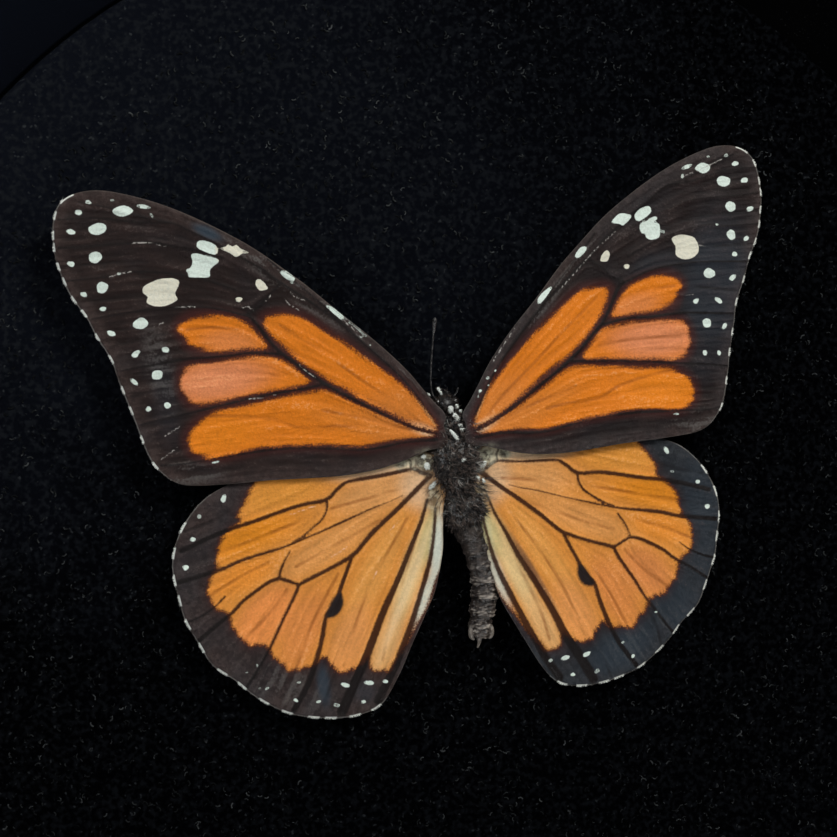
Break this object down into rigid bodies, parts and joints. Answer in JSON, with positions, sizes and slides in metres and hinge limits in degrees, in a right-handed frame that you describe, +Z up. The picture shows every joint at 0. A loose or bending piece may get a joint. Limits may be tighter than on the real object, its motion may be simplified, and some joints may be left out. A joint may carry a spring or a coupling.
{
  "type": "mounted butterfly in a glass dome",
  "caption": "Spread orange and black butterfly fixed on a round black velvet pad, under a clear glass dome on a turned black base.",
  "frame": {"origin": "centre of the base's underside, on the surface it stands on", "axes": "+Z up, +Y towards the butterfly's head, +X towards its right wings"},
  "size_m": [0.184, 0.184, 0.091],
  "materials": {
    "lacquer": "black lacquer, satin",
    "velvet": "black velvet pile",
    "glass": "clear, polished",
    "forewing": "matt scales, orange with black veins, border and white spots",
    "hindwing": "matt scales, paler orange with black veins and border",
    "fur": "black fur with grey tips and white dots",
    "abdomen": "dry, wrinkled, grey-brown",
    "horn": "dark horn"
  },
  "bodies": {
    "root": {"base": "lacquer", "velvet_pad": "velvet", "glass_dome": "glass", "head": "fur", "thorax": "fur", "abdomen": "abdomen", "forewing_left": "forewing", "forewing_right": "forewing", "hindwing_left": "hindwing", "hindwing_right": "hindwing", "antenna_left": "horn", "antenna_right": "horn", "proboscis": "horn", "leg_middle_left": "horn", "leg_middle_right": "horn", "leg_hind_left": "horn", "leg_hind_right": "horn"}
  },
  "joints": []
}
